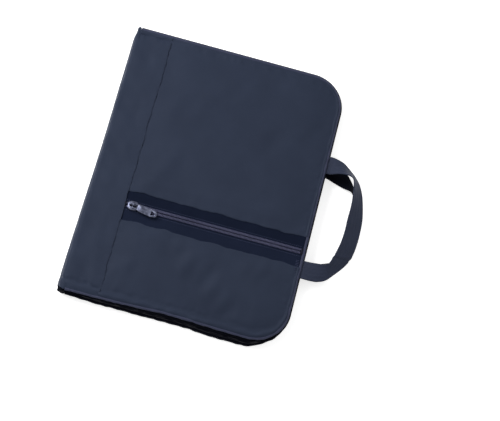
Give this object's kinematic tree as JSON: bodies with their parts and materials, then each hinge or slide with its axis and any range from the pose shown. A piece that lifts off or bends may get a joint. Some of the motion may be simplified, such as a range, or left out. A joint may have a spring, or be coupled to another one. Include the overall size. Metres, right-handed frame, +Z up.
{
  "type": "notepad holder",
  "caption": "Zip-round fabric folder for a writing pad, with a padded cover, an outer zip pocket, inner pockets, a pen loop and webbing carry handles on the opening edge.",
  "frame": {"origin": "centre of the back cover's resting face, with the folder closed and lying on its back", "axes": "+X from the spine to the opening edge and the handles, +Y from the bottom edge to the top edge along the spine, +Z up through the front cover"},
  "size_m": [0.319, 0.3425, 0.0249],
  "materials": {
    "cover_fabric": "navy woven polyester, matt with a faint sheen",
    "welt_fabric": "navy woven polyester turned over the cover's edge",
    "zip_tape": "dark navy woven tape",
    "zip_teeth": "navy polyester coil",
    "zip_metal": "gunmetal plating, satin",
    "webbing": "navy woven webbing",
    "lining": "black-blue plain lining",
    "board": "grey-brown stiffener board",
    "foam": "thin off-white foam sheet",
    "paper": "white writing paper",
    "backing_card": "grey-brown card",
    "binding": "dark cloth strip",
    "elastic": "black elastic band"
  },
  "bodies": {
    "back_cover": {"back_outer_panel": "cover_fabric", "back_spine_strip": "cover_fabric", "back_board": "board", "back_lining": "lining", "back_edge_welt": "welt_fabric", "back_closure_tape": "zip_tape", "back_closure_teeth": "zip_teeth", "back_closure_top_stop": "zip_metal", "closure_bottom_stop": "zip_metal", "back_handle_sewn_end_lower": "webbing", "back_handle_sewn_end_upper": "webbing", "notepad_slot_panel": "lining", "notepad_backing": "backing_card", "notepad_paper": "paper", "notepad_head_binding": "binding", "pen_loop": "elastic"},
    "spine": {"spine_fabric": "cover_fabric", "spine_board": "board", "spine_lining": "lining"},
    "front_cover": {"front_spine_strip": "cover_fabric", "front_upper_panel": "cover_fabric", "front_upper_foam": "foam", "front_strip_foam": "foam", "front_board": "board", "front_lining": "lining", "front_edge_welt": "welt_fabric", "front_closure_tape": "zip_tape", "front_closure_teeth": "zip_teeth", "front_closure_top_stop": "zip_metal", "front_handle_sewn_end_lower": "webbing", "front_handle_sewn_end_upper": "webbing", "pocket_panel": "cover_fabric", "pocket_back_lining": "lining", "pocket_tape_upper": "zip_tape", "pocket_teeth_upper": "zip_teeth", "pocket_top_stop_upper": "zip_metal", "pocket_tape_lower": "zip_tape", "pocket_teeth_lower": "zip_teeth", "pocket_top_stop_lower": "zip_metal", "pocket_bottom_stop": "zip_metal", "document_pocket": "lining", "card_pocket_1": "lining", "card_pocket_2": "lining", "card_pocket_3": "lining"},
    "pocket_slider": {"pocket_slider": "zip_metal"},
    "pocket_pull": {"pocket_pull": "zip_metal"},
    "closure_slider": {"closure_slider": "zip_metal"},
    "closure_pull": {"closure_pull": "zip_metal"},
    "front_handle": {"front_handle": "webbing"},
    "back_handle": {"back_handle": "webbing"}
  },
  "joints": [
    {"name": "spine_fold", "type": "hinge", "parent": "back_cover", "child": "spine", "pos_m": [-0.131, 0, 0], "axis": [0, -1, 0], "range_deg": [0, 90]},
    {"name": "front_cover_fold", "type": "hinge", "parent": "spine", "child": "front_cover", "pos_m": [-0.131, 0, 0.02], "axis": [0, -1, 0], "range_deg": [0, 90]},
    {"name": "pocket_slider_slide", "type": "slide", "parent": "front_cover", "child": "pocket_slider", "axis": [1, 0, 0], "range_m": [0, 0.194]},
    {"name": "pocket_pull_turn", "type": "hinge", "parent": "pocket_slider", "child": "pocket_pull", "pos_m": [-0.0778, -0.0515, 0.023], "axis": [-0.1564, -0.9877, 0], "range_deg": [0, 170]},
    {"name": "closure_slider_slide", "type": "slide", "parent": "back_cover", "child": "closure_slider", "axis": [1, 0, 0], "range_m": [0, 0.195]},
    {"name": "closure_pull_turn", "type": "hinge", "parent": "closure_slider", "child": "closure_pull", "pos_m": [-0.114, 0.1706, 0.01], "axis": [0, 0, 1], "range_deg": [0, 170]},
    {"name": "front_handle_swing", "type": "hinge", "parent": "front_cover", "child": "front_handle", "pos_m": [0.133, -0.0049, 0.01765], "axis": [0, -1, 0], "range_deg": [0, 120]},
    {"name": "back_handle_swing", "type": "hinge", "parent": "back_cover", "child": "back_handle", "pos_m": [0.133, -0.0024, 0.0018], "axis": [0, 1, 0], "range_deg": [0, 120]}
  ],
  "couplings": [
    {"joint": "front_cover_fold", "follows": "spine_fold", "ratio": 1}
  ]
}
